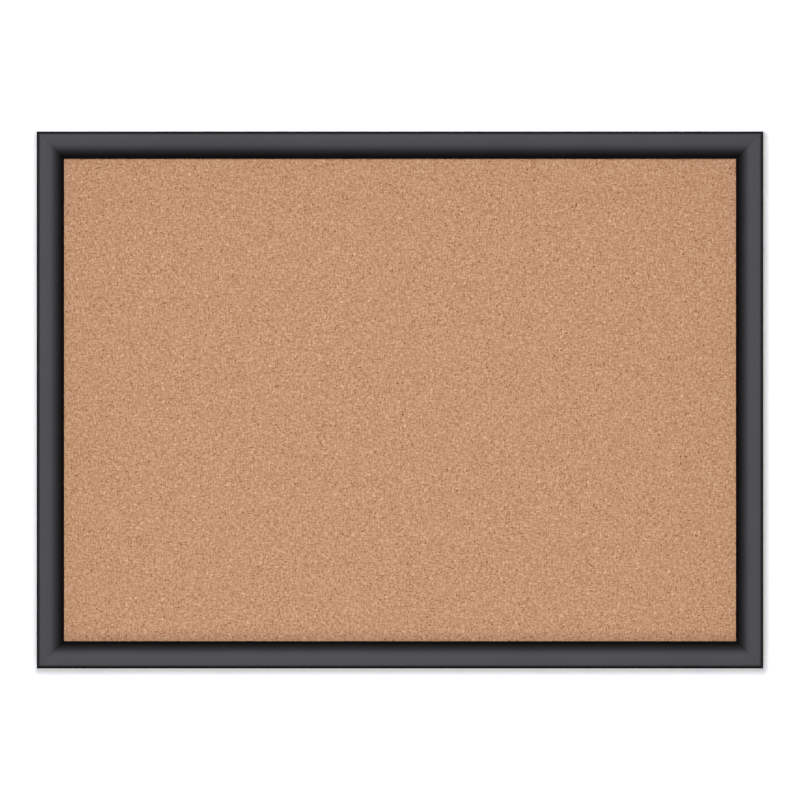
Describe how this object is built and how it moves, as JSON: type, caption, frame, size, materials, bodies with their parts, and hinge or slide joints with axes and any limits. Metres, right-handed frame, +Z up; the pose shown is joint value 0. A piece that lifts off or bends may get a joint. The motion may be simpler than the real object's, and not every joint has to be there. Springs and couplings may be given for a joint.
{
  "type": "cork bulletin board",
  "caption": "Landscape wall board: cork sheet on a backed panel in a curved, mitred black frame, with swinging hanging rings and wall bumpers on the back.",
  "frame": {"origin": "centre of the wall plane, which the faces of the bumpers on the back touch", "axes": "+X along the width, to the right as seen from the front; +Y towards the wall; +Z up; the cork faces -Y"},
  "size_m": [0.5842, 0.0265, 0.4318],
  "materials": {
    "black_foil": "satin black decor foil",
    "mdf": "raw MDF",
    "cork": "fine-grained agglomerated cork, unsealed",
    "fibreboard": "soft felted fibreboard",
    "hardboard": "smooth-faced hardboard",
    "zinc_steel": "bright zinc plate",
    "bumper": "soft matte rubber"
  },
  "bodies": {
    "board": {"rail_core_top": "mdf", "rail_core_bottom": "mdf", "rail_core_left": "mdf", "rail_core_right": "mdf", "rail_foil_top": "black_foil", "rail_foil_bottom": "black_foil", "rail_foil_left": "black_foil", "rail_foil_right": "black_foil", "cork_sheet": "cork", "fibreboard_core": "fibreboard", "hardboard_back": "hardboard", "v_nails_top_left": "zinc_steel", "v_nails_top_right": "zinc_steel", "v_nails_bottom_left": "zinc_steel", "v_nails_bottom_right": "zinc_steel", "retaining_points_top": "zinc_steel", "retaining_points_bottom": "zinc_steel", "retaining_points_left": "zinc_steel", "retaining_points_right": "zinc_steel", "hanger_strap_left": "zinc_steel", "hanger_strap_right": "zinc_steel", "hanger_screw_left": "zinc_steel", "hanger_screw_right": "zinc_steel", "wall_bumper_top_left": "bumper", "wall_bumper_top_right": "bumper", "wall_bumper_bottom_left": "bumper", "wall_bumper_bottom_right": "bumper"},
    "hanging_ring_left": {"hanger_ring_left": "zinc_steel"},
    "hanging_ring_right": {"hanger_ring_right": "zinc_steel"}
  },
  "joints": [
    {"name": "ring_swing_left", "type": "hinge", "parent": "board", "child": "hanging_ring_left", "pos_m": [-0.28435, -0.00273, 0.1239], "axis": [-1, 0, 0], "range_deg": [0, 176]},
    {"name": "ring_swing_right", "type": "hinge", "parent": "board", "child": "hanging_ring_right", "pos_m": [0.28435, -0.00273, 0.1239], "axis": [-1, 0, 0], "range_deg": [0, 176]}
  ]
}
